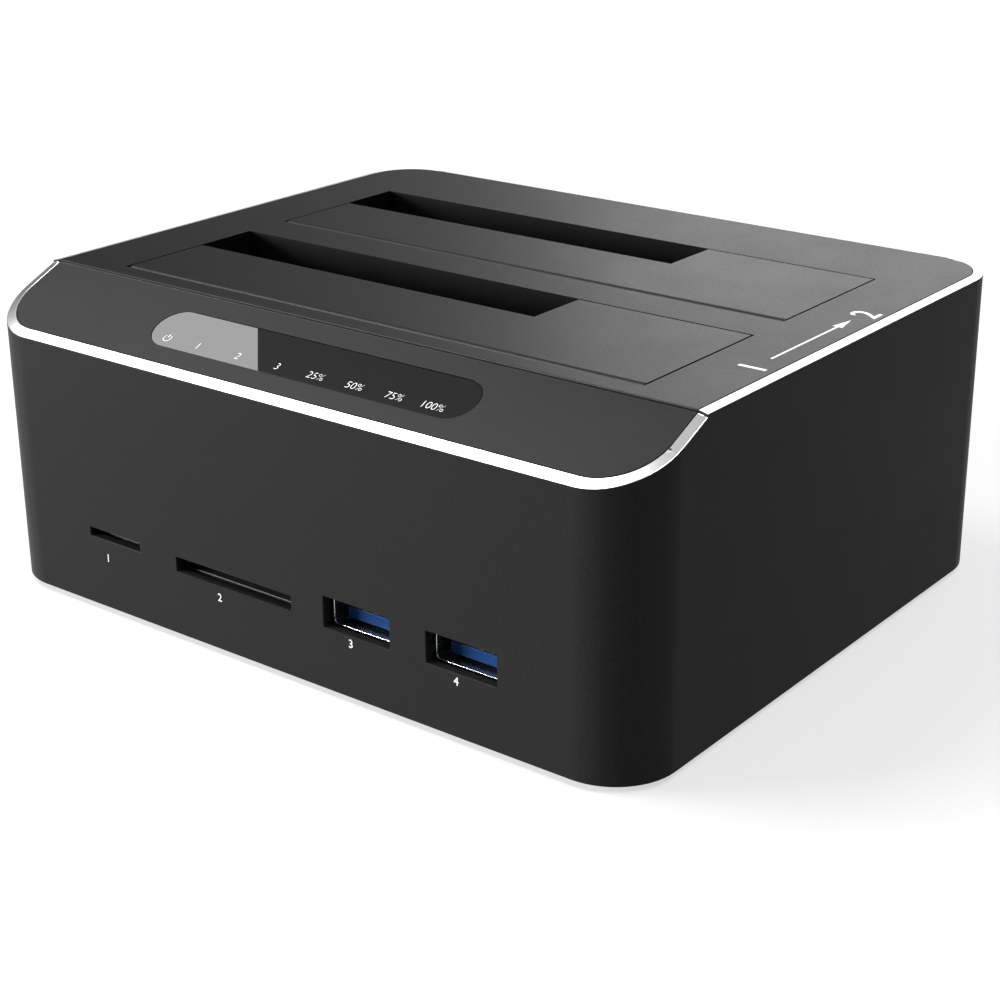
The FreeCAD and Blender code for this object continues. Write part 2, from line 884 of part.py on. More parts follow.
def save_card_socket(name, x, wide, high, level, length, count):
    front = sleeve_wall + card_setback
    floor = board_top + level - high / 2
    top = board_top + level + high / 2
    rear = front + length
    left = x - wide / 2 - card_wall
    right = x + wide / 2 + card_wall
    tray = block(left, right, front, rear, board_top, top)
    room = block(x - wide / 2, x + wide / 2, front - past, rear - card_wall, floor, top + past)
    save(name + "_socket", tray.cut(room))
    save(name + "_socket_lid", block(left, right, front + card_lid_setback, rear, top, top + card_lid))
    save(name + "_contacts", card_contact_strips(x, wide, floor, rear - card_wall, count))


def card_contact_strips(x, wide, floor, rear, count):
    pitch = wide / (count + 1)
    strips = []
    for k in range(count):
        middle = x - wide / 2 + pitch * (k + 1)
        strips.append(block(middle - pitch / 4, middle + pitch / 4, rear - card_contact_length, rear, floor,
                            floor + card_contact_thickness))
    return strips


# USB-A sockets

def make_usb_shell(x):
    front = sleeve_wall + usb_setback
    z = board_top + usb_shell_height / 2
    rear = front + usb_shell_length
    wall = usb_shell_wall
    outer = round_block_across(x, z, usb_shell_width, usb_shell_height, front, rear, usb_shell_radius)
    inner = round_block_across(x, z, usb_shell_width - 2 * wall, usb_shell_height - 2 * wall, front - past,
                               rear + past, usb_shell_radius - wall)
    return outer.cut(inner)


def usb_tongue_top():
    return board_top + usb_shell_height / 2 - usb_tongue_drop


def make_usb_core(x):
    front = sleeve_wall + usb_setback
    rear = front + usb_shell_length
    wide = usb_shell_width - 2 * usb_shell_wall
    high = usb_shell_height - 2 * usb_shell_wall
    back = cut_corner_block(0, 0, 0, (wide, high, usb_core_length), usb_shell_radius - usb_shell_wall)
    back.rotate(V(0, 0, 0), ALONG_X, 90)
    back.translate(V(x, rear, board_top + usb_shell_height / 2))
    tongue = block(x - usb_tongue_width / 2, x + usb_tongue_width / 2, front + usb_tongue_setback,
                   rear - usb_core_length, usb_tongue_top() - usb_tongue_thickness, usb_tongue_top())
    return joined([back, tongue])


def make_usb_contacts():
    front = sleeve_wall + usb_setback + usb_tongue_setback + usb_contact_setback
    rear = sleeve_wall + usb_setback + usb_shell_length - usb_core_length
    z = usb_tongue_top()
    strips = []
    for x in usb_x:
        for k in range(usb_contacts):
            middle = x + (k - (usb_contacts - 1) / 2) * usb_contact_pitch
            strips.append(block(middle - usb_contact_width / 2, middle + usb_contact_width / 2, front, rear,
                                z, z + usb_contact_thickness))
    return strips


# SATA sockets

def sata_y(front):
    return front + bay_depth - drive_back_gap - sata_from_drive_back


def sata_slots():
    whole = sata_signal_length + sata_slot_gap + sata_power_length
    power_left = sata_x - whole / 2
    signal_left = power_left + sata_power_length + sata_slot_gap
    return (power_left, sata_power_length, sata_power_contacts), (signal_left, sata_signal_length,
                                                                  sata_signal_contacts)


def make_sata_socket(front):
    y = sata_y(front)
    body = block(sata_x - sata_length / 2, sata_x + sata_length / 2, y - sata_width / 2, y + sata_width / 2,
                 board_top, sata_top)
    post_foot = (sata_post_length, sata_width)
    post_tip = (sata_post_length - sata_post_taper, sata_width - 2 * sata_post_taper)
    reach = sata_length / 2 - sata_post_length / 2
    posts = [tapered(x, y, sata_top, sata_top + sata_post_rise, post_foot, post_tip)
             for x in (sata_x - reach, sata_x + reach)]
    half_slot = sata_slot_width / 2
    bottom = sata_top - sata_slot_depth
    cuts = []
    for left, length, _ in sata_slots():
        cuts.append(block(left, left + length, y - half_slot, y + half_slot, bottom, sata_top + past))
        cuts.append(block(left, left + sata_key, y, y + half_slot + sata_key, bottom, sata_top + past))
    return joined([body, *posts]).cut(cuts)


def make_sata_contacts(front):
    y = sata_y(front) - sata_slot_width / 2
    strips = []
    for left, length, count in sata_slots():
        middle = left + length / 2
        for k in range(count):
            x = middle + (k - (count - 1) / 2) * sata_contact_pitch
            strips.append(block(x - sata_contact_width / 2, x + sata_contact_width / 2, y,
                                y + sata_contact_thickness, sata_top - sata_slot_depth,
                                sata_top - sata_contact_drop))
    return strips


# Rear sockets

def make_dc_socket():
    rear = rear_inside - socket_gap
    body = block(dc_x - dc_width / 2, dc_x + dc_width / 2, rear - dc_length, rear, board_top,
                 board_top + dc_height)
    nose = lying_back(dc_x, rear_z, rear, rear + dc_nose, dc_nose_radius)
    bore = lying_back(dc_x, rear_z, rear + dc_nose - dc_bore_depth, rear + dc_nose + past, dc_bore_radius)
    return joined([body, nose]).cut(bore)


def make_dc_pin():
    face = rear_inside - socket_gap + dc_nose
    return lying_back(dc_x, rear_z, face - dc_bore_depth, face - dc_pin_setback, dc_pin_radius)


def usb_b_mouth_low():
    return board_top + (usb_b_height - usb_b_low_height - usb_b_high_height) / 2


def usb_b_mouth(y0, y1):
    low = usb_b_mouth_low()
    middle = low + usb_b_low_height
    top = middle + usb_b_high_height
    half = usb_b_low_width / 2
    high_half = usb_b_high_width / 2
    shoulder = half - usb_b_chamfer
    corner = middle - usb_b_chamfer
    outline = [V(-half, y0, low), V(half, y0, low), V(half, y0, corner), V(shoulder, y0, middle),
               V(high_half, y0, middle), V(high_half, y0, top), V(-high_half, y0, top),
               V(-high_half, y0, middle), V(-shoulder, y0, middle), V(-half, y0, corner)]
    shape = prism(outline, V(0, y1 - y0, 0))
    shape.translate(V(usb_b_x, 0, 0))
    return shape


def make_usb_b_shell():
    rear = rear_inside - socket_gap
    middle = board_top + usb_b_height / 2
    outer = block_across(usb_b_x, middle, usb_b_width, usb_b_height, rear - usb_b_length, rear)
    inner = block_across(usb_b_x, middle, usb_b_width - 2 * usb_b_wall, usb_b_height - 2 * usb_b_wall,
                         rear - usb_b_length - past, rear + past)
    return outer.cut(inner)


def make_usb_b_core():
    rear = rear_inside - socket_gap
    tongue_end = rear - usb_b_tongue_setback
    body = block_across(usb_b_x, board_top + usb_b_height / 2, usb_b_width - 2 * usb_b_wall,
                        usb_b_height - 2 * usb_b_wall, rear - usb_b_length, rear - usb_b_core_setback)
    body = body.cut(usb_b_mouth(rear - usb_b_mouth_depth, rear + past))
    low = usb_b_mouth_low()
    start = rear - usb_b_mouth_depth - weld
    tongue = block_across(usb_b_x, low + usb_b_low_height / 2, usb_b_tongue_width, usb_b_tongue_height,
                          start, tongue_end)
    tip = block_across(usb_b_x, low + usb_b_low_height + usb_b_high_height / 2,
                       usb_b_tongue_width - 2 * usb_b_tip_inset, usb_b_tip_height, start, tongue_end)
    return joined([body, tongue, tip])


# Buttons: a cap in the rear wall on the plunger of a switch on the main board

def make_button(x, radius):
    face = button_back + button_length
    cap = lying_back(x, rear_z, button_back, face, radius)
    rim = [edge for edge in cap.Edges if edge.BoundBox.YMin > face - button_edge]
    cap = cap.makeChamfer(button_edge, rim)
    plunger = block_across(x, rear_z, plunger_width, plunger_width, button_back - plunger_length,
                           button_back + weld)
    return joined([cap, plunger])


def make_switch_body(x, wide, length, travel):
    rear = button_back - travel - switch_gap
    body = block(x - wide / 2, x + wide / 2, rear - length, rear, board_top, rear_z + wide / 2)
    room_width = plunger_width + 2 * plunger_gap
    room_end = button_back - plunger_length - travel - plunger_room
    room = block_across(x, rear_z, room_width, room_width, room_end, rear + past)
    return body.cut(room)


# Main board and the parts on it

def make_main_board():
    board = block(board_left, board_right, board_front, board_rear, board_bottom, board_top)
    half = board_hook_width / 2 + snap_gap
    low = board_bottom - past
    notches = [block(x - board_notch, x + board_notch, y - half, y + half, low, board_top + past)
               for x in (board_left, board_right) for y in board_holds]
    return board.cut(notches)


def on_board(places):
    return [(across * width, along * depth) for across, along in places]


def make_chip(chip):
    size, place = chip
    x, y = on_board([place])[0]
    shape = cut_corner_block(x, y, board_top, size, chip_corner)
    upper = [edge for edge in shape.Edges if edge.BoundBox.ZMin > board_top + size[2] / 2]
    return shape.makeChamfer(chip_edge, upper)


def make_coils():
    return [cut_corner_block(x, y, board_top, coil_size, coil_corner) for x, y in on_board(coil_places)]


def make_crystals():
    return [cut_corner_block(x, y, board_top, crystal_size, crystal_corner)
            for x, y in on_board(crystal_places)]


def make_capacitors():
    return [standing(x, y, board_top, board_top + capacitor_height, capacitor_radius)
            for x, y in on_board(capacitor_places)]


def main():
    os.makedirs("parts", exist_ok=True)
    save("housing_sleeve", make_housing_sleeve())
    save("top_cover", make_top_cover())
    for letter, front in zip("ab", bay_fronts):
        save("door_" + letter, make_door(front))
        save("hinge_pin_" + letter, make_hinge_pin(front))
        save("door_spring_" + letter, make_door_spring(front))
        save("drive_well_" + letter, make_drive_well(front))
        save("sata_socket_" + letter, make_sata_socket(front))
        save("sata_contacts_" + letter, make_sata_contacts(front))
    save("base_plate", make_base_plate())
    save("rubber_feet", make_feet())
    save("case_screws", make_case_screws())
    save("indicator_lens", make_indicator_lens())
    save("light_guide", make_light_guide())
    save("indicator_lamps", make_indicator_lamps())
    save("indicator_board", make_indicator_board())
    save("indicator_cable", make_indicator_cable())
    save("cable_sockets", make_cable_sockets())
    save_card_socket("micro_card", micro_x, micro_width, micro_height, micro_level, micro_length,
                     micro_contacts)
    save_card_socket("card", card_x, card_width, card_height, card_level, card_length, card_contacts)
    for side, x in zip(("left", "right"), usb_x):
        save("usb_socket_shell_" + side, make_usb_shell(x))
        save("usb_socket_core_" + side, make_usb_core(x))
    save("usb_socket_contacts", make_usb_contacts())
    save("dc_socket", make_dc_socket())
    save("dc_socket_pin", make_dc_pin())
    save("usb_b_shell", make_usb_b_shell())
    save("usb_b_core", make_usb_b_core())
    save("power_button", make_button(power_x, power_button_radius))
    save("power_switch", make_switch_body(power_x, power_body_width, power_body_length, power_travel))
    save("copy_button", make_button(copy_x, copy_button_radius))
    save("copy_switch", make_switch_body(copy_x, copy_body_width, copy_body_length, copy_travel))
    save("main_board", make_main_board())
    save("bridge_chip", make_chip(bridge_chip))
    save("hub_chip", make_chip(hub_chip))
    save("card_reader_chip", make_chip(card_chip))
    save("memory_chip", make_chip(memory_chip))
    save("coils", make_coils())
    save("crystals", make_crystals())
    save("capacitors", make_capacitors())


main()
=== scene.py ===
import json
import math
import bmesh
import bpy
from mathutils import Matrix, Vector

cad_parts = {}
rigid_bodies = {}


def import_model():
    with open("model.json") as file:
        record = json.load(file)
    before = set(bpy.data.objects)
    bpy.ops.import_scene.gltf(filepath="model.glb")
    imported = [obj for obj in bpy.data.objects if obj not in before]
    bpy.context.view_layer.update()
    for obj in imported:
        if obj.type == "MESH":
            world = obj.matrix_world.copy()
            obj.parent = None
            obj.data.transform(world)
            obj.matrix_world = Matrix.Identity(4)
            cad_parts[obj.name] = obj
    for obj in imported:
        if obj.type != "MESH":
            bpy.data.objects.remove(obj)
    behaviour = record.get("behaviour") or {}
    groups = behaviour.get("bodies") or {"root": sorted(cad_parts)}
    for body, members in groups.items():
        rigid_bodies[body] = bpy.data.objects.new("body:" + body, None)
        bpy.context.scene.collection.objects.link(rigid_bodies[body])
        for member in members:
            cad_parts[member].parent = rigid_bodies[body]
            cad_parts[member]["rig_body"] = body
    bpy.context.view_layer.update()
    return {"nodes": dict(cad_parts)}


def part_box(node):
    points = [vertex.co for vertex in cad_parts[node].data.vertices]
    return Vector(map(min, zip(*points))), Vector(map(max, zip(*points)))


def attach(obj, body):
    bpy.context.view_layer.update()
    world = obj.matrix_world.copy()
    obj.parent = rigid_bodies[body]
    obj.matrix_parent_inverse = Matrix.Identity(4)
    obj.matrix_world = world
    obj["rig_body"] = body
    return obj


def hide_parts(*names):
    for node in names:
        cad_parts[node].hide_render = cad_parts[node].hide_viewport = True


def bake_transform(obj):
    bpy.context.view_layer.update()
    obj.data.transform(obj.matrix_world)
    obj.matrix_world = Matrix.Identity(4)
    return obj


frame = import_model()


# Housing sleeve
# One extruded aluminium sleeve round the whole part, cut flat on top with a slope in front. It is blasted
# and dyed black in the anodising bath, then a diamond tool cuts its top edge bright, leaning outward.

MM = 0.001
MERGE_REACH = 0.002
FLAT_ANGLE = math.radians(0.5)
SHARP_ANGLE = math.radians(25)
EDGE_SEGMENTS = 3
FACING_UP = 0.5
FACING_SIDEWAYS = 0.1
SLEEVE_EDGE = 0.12
RIM_HEIGHT_SHARE = 0.75
RIM_DROP = 0.35
WALL_AREA = 10.0
BLAST_GRAIN = 0.32
BLAST_PATCH = 9.0
PATCH_SHARE = 0.3
TOOL_LINE = 0.3
TOOL_LINE_STRETCH = (0.2, 1.0, 1.0)
ROUGH_NOISE = {"Detail": 3.0, "Roughness": 0.6}


def linear(colour):
    parts = [int(colour[i:i + 2], 16) / 255 for i in (1, 3, 5)]
    return tuple(c / 12.92 if c <= 0.04045 else ((c + 0.055) / 1.055) ** 2.4 for c in parts) + (1.0,)


def add(tree, kind, settings=None, links=None):
    made = tree.nodes.new(kind)
    for key, value in (settings or {}).items():
        if isinstance(key, str) and hasattr(made, key):
            setattr(made, key, value)
        else:
            made.inputs[key].default_value = value
    for key, socket in (links or {}).items():
        tree.links.new(socket, made.inputs[key])
    return made


def new_material(name, settings):
    material = bpy.data.materials.new(name)
    material.use_nodes = True
    tree = material.node_tree
    tree.nodes.clear()
    shader = add(tree, "ShaderNodeBsdfPrincipled", settings)
    add(tree, "ShaderNodeOutputMaterial", links={"Surface": shader.outputs["BSDF"]})
    place = add(tree, "ShaderNodeTexCoord").outputs["Object"]
    return material, tree, shader, place


def grained(name, dark, light, rough, grain, patch, depth, settings=None):
    material, tree, shader, place = new_material(name, settings or {})
    fine = add(tree, "ShaderNodeTexNoise", {"Scale": 1 / (grain * MM), **ROUGH_NOISE},
               {"Vector": place}).outputs["Fac"]
    cloudy = add(tree, "ShaderNodeTexNoise", {"Scale": 1 / (patch * MM), "Detail": 2.0, "Roughness": 0.6},
                 {"Vector": place}).outputs["Fac"]
    share = add(tree, "ShaderNodeMapRange", {"From Min": 0.35, "From Max": 0.65}, {"Value": fine})
    colour = add(tree, "ShaderNodeMix", {"data_type": "RGBA", 6: linear(dark), 7: linear(light)},
                 {0: share.outputs["Result"]})
    mixed = add(tree, "ShaderNodeMath", {"operation": "MULTIPLY_ADD", 1: PATCH_SHARE}, {0: cloudy, 2: fine})
    sheen = add(tree, "ShaderNodeMapRange",
                {"From Min": 0.5, "From Max": 0.8, "To Min": rough[0], "To Max": rough[1]},
                {"Value": mixed.outputs["Value"]})
    bump = add(tree, "ShaderNodeBump", {"Strength": 0.5, "Distance": depth * MM}, {"Height": fine})
    tree.links.new(colour.outputs[2], shader.inputs["Base Color"])
    tree.links.new(sheen.outputs["Result"], shader.inputs["Roughness"])
    tree.links.new(bump.outputs["Normal"], shader.inputs["Normal"])
    return material


def merged_copy(node):
    shape = bmesh.new()
    shape.from_mesh(frame["nodes"][node].data)
    bmesh.ops.remove_doubles(shape, verts=shape.verts, dist=MERGE_REACH * MM)
    bmesh.ops.dissolve_limit(shape, angle_limit=FLAT_ANGLE, verts=shape.verts, edges=shape.edges)
    return shape


def finished(shape, node, materials, edge=0.0):
    mesh = bpy.data.meshes.new(node + "_finished")
    for face in shape.faces:
        face.smooth = True
    for side in shape.edges:
        side.smooth = side.is_manifold and side.calc_face_angle() < SHARP_ANGLE
    shape.to_mesh(mesh)
    shape.free()
    piece = bpy.data.objects.new(mesh.name, mesh)
    bpy.context.scene.collection.objects.link(piece)
    for material in materials:
        mesh.materials.append(material)
    if edge:
        bevel = piece.modifiers.new("eased edges", "BEVEL")
        bevel.width = edge * MM
        bevel.segments = EDGE_SEGMENTS
        bevel.limit_method = "ANGLE"
        bevel.angle_limit = SHARP_ANGLE
        bevel.face_strength_mode = "FSTR_ALL"
        evened = piece.modifiers.new("evened shading", "WEIGHTED_NORMAL")
        evened.keep_sharp = True
        evened.use_face_influence = True
    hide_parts(node)
    return piece


# Anodised aluminium, blasted with fine beads and dyed black: nearly black, with a soft sheen that spreads
# wide and no mirror image. The beads leave pits of about 0.1 mm, drawn at 0.32 mm so that they show.
blasted_aluminium = grained("blasted_black_anodised_aluminium", "#1d1d1d", "#232323", (0.38, 0.48),
                            BLAST_GRAIN, BLAST_PATCH, 0.004, {"Specular IOR Level": 0.03})

# Bare aluminium cut with a diamond tool: nearly white metal that mirrors the lamps, softened by tool lines.
# The lines are 0.05 mm apart, drawn at 0.3 mm so that they show.
bright_cut, tree, shader, place = new_material("bright_cut_aluminium", {"Metallic": 1.0})
along_cut = add(tree, "ShaderNodeMapping", {"Scale": TOOL_LINE_STRETCH}, {"Vector": place})
lines = add(tree, "ShaderNodeTexNoise", {"Scale": 1 / (TOOL_LINE * MM), **ROUGH_NOISE},
            {"Vector": along_cut.outputs["Vector"]}).outputs["Fac"]
cut_colour = add(tree, "ShaderNodeMix",
                 {"data_type": "RGBA", 6: linear("#eceded"), 7: linear("#f4f5f5")}, {0: lines})
cut_sheen = add(tree, "ShaderNodeMapRange", {"To Min": 0.28, "To Max": 0.285}, {"Value": lines})
tree.links.new(cut_colour.outputs[2], shader.inputs["Base Color"])
tree.links.new(cut_sheen.outputs["Result"], shader.inputs["Roughness"])

sleeve_shape = merged_copy("housing_sleeve")
sleeve_low, sleeve_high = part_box("housing_sleeve")
rim = [face for face in sleeve_shape.faces
       if face.normal.z > FACING_UP and face.calc_center_median().z > sleeve_high.z * RIM_HEIGHT_SHARE]
walls = {face for face in sleeve_shape.faces
         if abs(face.normal.z) < FACING_SIDEWAYS and face.calc_area() > WALL_AREA * MM * MM}
middle = (sleeve_low + sleeve_high) / 2
outer_corners = {vert for face in rim for vert in face.verts
                 if any(wall in walls and wall.normal.dot(vert.co - middle) > 0 for wall in vert.link_faces)}
for face in rim:
    face.material_index = 1
bmesh.ops.triangulate(sleeve_shape, faces=rim, ngon_method="BEAUTY")
bmesh.ops.translate(sleeve_shape, verts=list(outer_corners), vec=(0, 0, -RIM_DROP * MM))
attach(finished(sleeve_shape, "housing_sleeve", [blasted_aluminium, bright_cut], SLEEVE_EDGE), "housing")


# Port numbers
# Plain numbers 1 to 4 under the four front openings. They are screen printed on the sleeve in pale grey
# ink, which stands on the metal as a thin film.

INK = 0.01
PORT_NUMBER = 1.9
PORT_WEIGHT = 0.02
PORT_NUMBERS = {"1": 26.8, "2": 52.3, "3": 79.5, "4": 99.5}
PORT_NUMBER_HEIGHT = 8.95
ACROSS = Vector((1, 0, 0))
BACK = Vector((0, 1, 0))
UP = Vector((0, 0, 1))

# Screen ink, printed through a mesh: flat pale grey, with the mesh's faint marks at their real 0.2 mm.
grey_ink = grained("screen_printed_grey_ink", "#b4b4b4", "#c4c4c4", (0.5, 0.6), 0.2, 2.0, 0.001)


def corner_point(x, y, z):
    return sleeve_low + Vector((x, y, z)) * MM


def laid(mesh, name, place, along, outward, ink):
    turn = Matrix((along, outward.cross(along), outward)).transposed().to_4x4()
    mesh.transform(Matrix.Translation(place) @ turn)
    mark = bpy.data.objects.new(name, mesh)
    bpy.context.scene.collection.objects.link(mark)
    mesh.materials.clear()
    mesh.materials.append(ink)
    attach(mark, "housing")


def printed(text, size, weight, name, place, along, outward, ink):
    letters = bpy.data.curves.new(name, "FONT")
    letters.body = text
    letters.size = size * MM
    letters.offset = weight * MM
    letters.align_x = "CENTER"
    letters.align_y = "CENTER"
    letters.extrude = INK * MM
    holder = bpy.data.objects.new(name + "_letters", letters)
    bpy.context.scene.collection.objects.link(holder)
    mesh = bpy.data.meshes.new_from_object(holder.evaluated_get(bpy.context.evaluated_depsgraph_get()))
    bpy.data.objects.remove(holder)
    laid(mesh, name, place, along, outward, ink)


for number, x in PORT_NUMBERS.items():
    printed(number, PORT_NUMBER, PORT_WEIGHT, "port_number_" + number,
            corner_point(x, 0, PORT_NUMBER_HEIGHT), ACROSS, -BACK, grey_ink)


# Top cover
# A black moulded cover that drops into the sleeve and carries the doors and the wells. Its mould is spark
# eroded, so its top has a fine even texture, while its upright faces get painted shade, a dull near black.

COVER_EDGE = 0.1
COVER_SIDE = 0.6


def dressed(node, materials, edge, side_tilt=0.0):
    shape = merged_copy(node)
    for face in shape.faces:
        if abs(face.normal.z) < side_tilt:
            face.material_index = 1
    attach(finished(shape, node, materials, edge), frame["nodes"][node]["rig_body"])


# ABS from a spark-eroded mould: black with a satin sheen that lightens towards the light. The erosion's
# pits are about 0.1 mm, drawn at 0.3 mm so that they show.
cover_plastic = grained("textured_black_abs", "#191919", "#202020", (0.36, 0.44), 0.30, 14.0, 0.005,
                        {"Specular IOR Level": 0.2})

# The same ABS on the upright faces where two parts face each other, with painted shade: a near black with
# hardly any sheen, much darker than the cover, as if the crease and the gaps lay in shadow.
painted_gap_shade = grained("black_abs_painted_gap_shade", "#040404", "#070707", (0.60, 0.70), 0.30, 14.0, 0.003,
                     {"Specular IOR Level": 0.05})
dressed("top_cover", [cover_plastic, painted_gap_shade], COVER_EDGE, COVER_SIDE)


# Bay numbers and arrow
# A plain white 1 and 2 beside the two bays and a thin arrow from one to the other, which says which way a
# drive is copied. They are screen printed along the cover's right side.

BAY_NUMBER = 6.4
BAY_WEIGHT = 0.06
BAY_NUMBERS = {"1": (125.1, 35.7), "2": (125.5, 68.0)}
ARROW_X = 124.95
ARROW_START = 40.7
ARROW_LENGTH = 23.3
ARROW_HALF = 0.2
HEAD_LENGTH = 4.2
HEAD_HALF = 0.85

# White screen ink, printed through the same mesh: flat, opaque and a little grey.
white_ink = grained("screen_printed_white_ink", "#dcdcdc", "#ececec", (0.5, 0.6), 0.2, 2.0, 0.001)
cover_height = (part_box("top_cover")[1].z - sleeve_low.z) / MM
for number, (x, y) in BAY_NUMBERS.items():
    printed(number, BAY_NUMBER, BAY_WEIGHT, "bay_number_" + number, corner_point(x, y, cover_height),
            BACK, UP, white_ink)

arrow_shape = bmesh.new()
neck = ARROW_LENGTH - HEAD_LENGTH
arrow_line = [(0, -ARROW_HALF), (neck, -ARROW_HALF), (neck, -HEAD_HALF), (ARROW_LENGTH, 0),
              (neck, HEAD_HALF), (neck, ARROW_HALF), (0, ARROW_HALF)]
sheet = arrow_shape.faces.new([arrow_shape.verts.new(Vector((x, y, -INK)) * MM) for x, y in arrow_line])
raised = bmesh.ops.extrude_face_region(arrow_shape, geom=[sheet])
bmesh.ops.translate(arrow_shape, vec=(0, 0, 2 * INK * MM),
                    verts=[v for v in raised["geom"] if isinstance(v, bmesh.types.BMVert)])
bmesh.ops.recalc_face_normals(arrow_shape, faces=arrow_shape.faces)
arrow_mesh = bpy.data.meshes.new("copy_arrow")
arrow_shape.to_mesh(arrow_mesh)
arrow_shape.free()
laid(arrow_mesh, "copy_arrow", corner_point(ARROW_X, ARROW_START, cover_height), BACK, UP, white_ink)


# Doors
# Two moulded flaps that close the bays and give way to a drive. Each turns on a pin along its front edge,
# and a slot at its rear left lets a small drive in without moving it.

DOOR_EDGE = 0.45
DOOR_SIDE = 0.3

# ABS again, from a finer mould face than the cover's, so it shines a little more.
door_plastic = grained("textured_black_door_abs", "#191919", "#202020", (0.34, 0.42), 0.30, 14.0, 0.005,
                       {"Specular IOR Level": 0.2})
# The doors' upright sides take the painted gap shade, as if in shadow.
for letter in "ab":
    dressed("door_" + letter, [door_plastic, painted_gap_shade], DOOR_EDGE, DOOR_SIDE)


# Hinge pins and door springs
# A drawn steel pin lies under each door's front edge, in grooves of the cover that the well closes from
# below. A spring wound from steel wire sits round it, with one arm against the cover and one under the door.
# Its coil winds up as the door goes down, but here it is drawn as one fixed shape.


def coated(nodes, material):
    for node in nodes:
        mesh = frame["nodes"][node].data
        mesh.materials.clear()
        mesh.materials.append(material)


# Steel drawn through a die: grey and bright, with the die's faint marks of 0.2 mm.
drawn_steel = grained("drawn_steel", "#8f9092", "#b4b5b8", (0.22, 0.34), 0.2, 4.0, 0.002, {"Metallic": 1.0})
coated(["hinge_pin_a", "hinge_pin_b"], drawn_steel)
for letter in "ab":
    spring = finished(merged_copy("door_spring_" + letter), "door_spring_" + letter, [drawn_steel])
    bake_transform(spring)


# Drive wells and base plate
# Black mouldings that stay out of sight. The wells snap onto the cover's skirts under the doors, and the
# base plate closes the sleeve from below, held by two screws.

WELL_EDGE = 0.15

# ABS from a plain mould, so its black is duller than the outside's, with a faint unevenness. It is also
# painted far darker than the outside, as painted shade for the insides of the bays, where shade falls.
well_plastic_painted_shade = grained("black_well_abs_painted_shade", "#050505", "#090909", (0.60, 0.70), 0.4, 10.0, 0.004,
                       {"Specular IOR Level": 0.05})
for node in ("drive_well_a", "drive_well_b", "base_plate"):
    dressed(node, [well_plastic_painted_shade], WELL_EDGE)
coated(["case_screws"], drawn_steel)


# Feet
# Four discs punched from black rubber sheet and stuck to the base plate. Two of them hide its screws.

FOOT_EDGE = 0.2

# Rubber, rolled: a dusty dark grey with a slight pebble of 0.35 mm, and no gloss.
rubber = grained("rolled_black_rubber", "#141414", "#1d1d1d", (0.70, 0.85), 0.35, 5.0, 0.01)
dressed("rubber_feet", [rubber], FOOT_EDGE)


# Drive sockets
# A black moulded socket stands at the bottom of each well. Its two tongues carry the gold-plated contacts
# that the drive slides onto.

SOCKET_EDGE = 0.1

# Nylon filled with glass: a greyish black with fine pale flecks where fibres lie near the surface.
black_insulator = grained("glass_filled_black_nylon", "#151516", "#202022", (0.42, 0.55), 0.25, 4.0, 0.003)

# Gold plating on copper alloy: warm, smooth and bright, with the strip's faint rolling marks.
gold = grained("gold_plating", "#c99b3f", "#e0b75a", (0.20, 0.32), 0.3, 2.0, 0.001, {"Metallic": 1.0})
for letter in "ab":
    dressed("sata_socket_" + letter, [black_insulator], SOCKET_EDGE)
coated(["sata_contacts_a", "sata_contacts_b"], gold)


# Indicator lens
# A strip of smoked acrylic let into the slope, over the lamps. Its left end carries a painted reflection: it
# is coloured a paler grey, up to a slanted border.

LENS_EDGE = 0.08
LENS_SIDE = 0.3
LENS_BORDER = ((51.1, 12.53), (58.38, 4.8))
BORDER_BLUR = 0.05
LENS_HAZE = 0.5

# Smoked acrylic, moulded with a fine satin face: near black with soft highlights, and no image in it. The
# haze is in the face's texture, about 0.1 mm, drawn at 0.5 mm so that it shows.
smoked, tree, shader, place = new_material("smoked_acrylic", {"Specular IOR Level": 0.05})
border_start = corner_point(*LENS_BORDER[0], 0)
border_run = corner_point(*LENS_BORDER[1], 0) - border_start
across_border = Vector((border_run.y, -border_run.x, 0)).normalized()
offset = across_border.dot(border_start)
distance = add(tree, "ShaderNodeVectorMath", {"operation": "DOT_PRODUCT", 1: across_border}, {0: place})
painted_reflection_share = add(tree, "ShaderNodeMapRange",
                 {"From Min": offset - BORDER_BLUR * MM, "From Max": offset + BORDER_BLUR * MM},
                 {"Value": distance.outputs["Value"]})
haze = add(tree, "ShaderNodeTexNoise", {"Scale": 1 / (LENS_HAZE * MM), **ROUGH_NOISE},
           {"Vector": place}).outputs["Fac"]
smoke = add(tree, "ShaderNodeMix",
            {"data_type": "RGBA", 6: linear("#161616"), 7: linear("#191919")}, {0: haze})
# Painted reflection: the lens's left end is coloured a paler grey, standing in for light reflected there.
painted_reflection = add(tree, "ShaderNodeMix",
            {"data_type": "RGBA", 6: linear("#6e6e6e"), 7: linear("#717171")}, {0: haze})
lens_colour = add(tree, "ShaderNodeMix", {"data_type": "RGBA"},
                  {0: painted_reflection_share.outputs["Result"], 6: smoke.outputs[2], 7: painted_reflection.outputs[2]})
lens_sheen = add(tree, "ShaderNodeMapRange",
                 {"From Min": 0.3, "From Max": 0.7, "To Min": 0.32, "To Max": 0.42}, {"Value": haze})
tree.links.new(lens_colour.outputs[2], shader.inputs["Base Color"])
tree.links.new(lens_sheen.outputs["Result"], shader.inputs["Roughness"])
# The lens's upright sides take the painted gap shade, as if in shadow.
dressed("indicator_lens", [smoked, painted_gap_shade], LENS_EDGE, LENS_SIDE)


# Lens marks
# A power sign, the lamp numbers 1 to 3 and the four shares of a finished copy, one over each of the eight
# lamps. They are printed white on the lens.

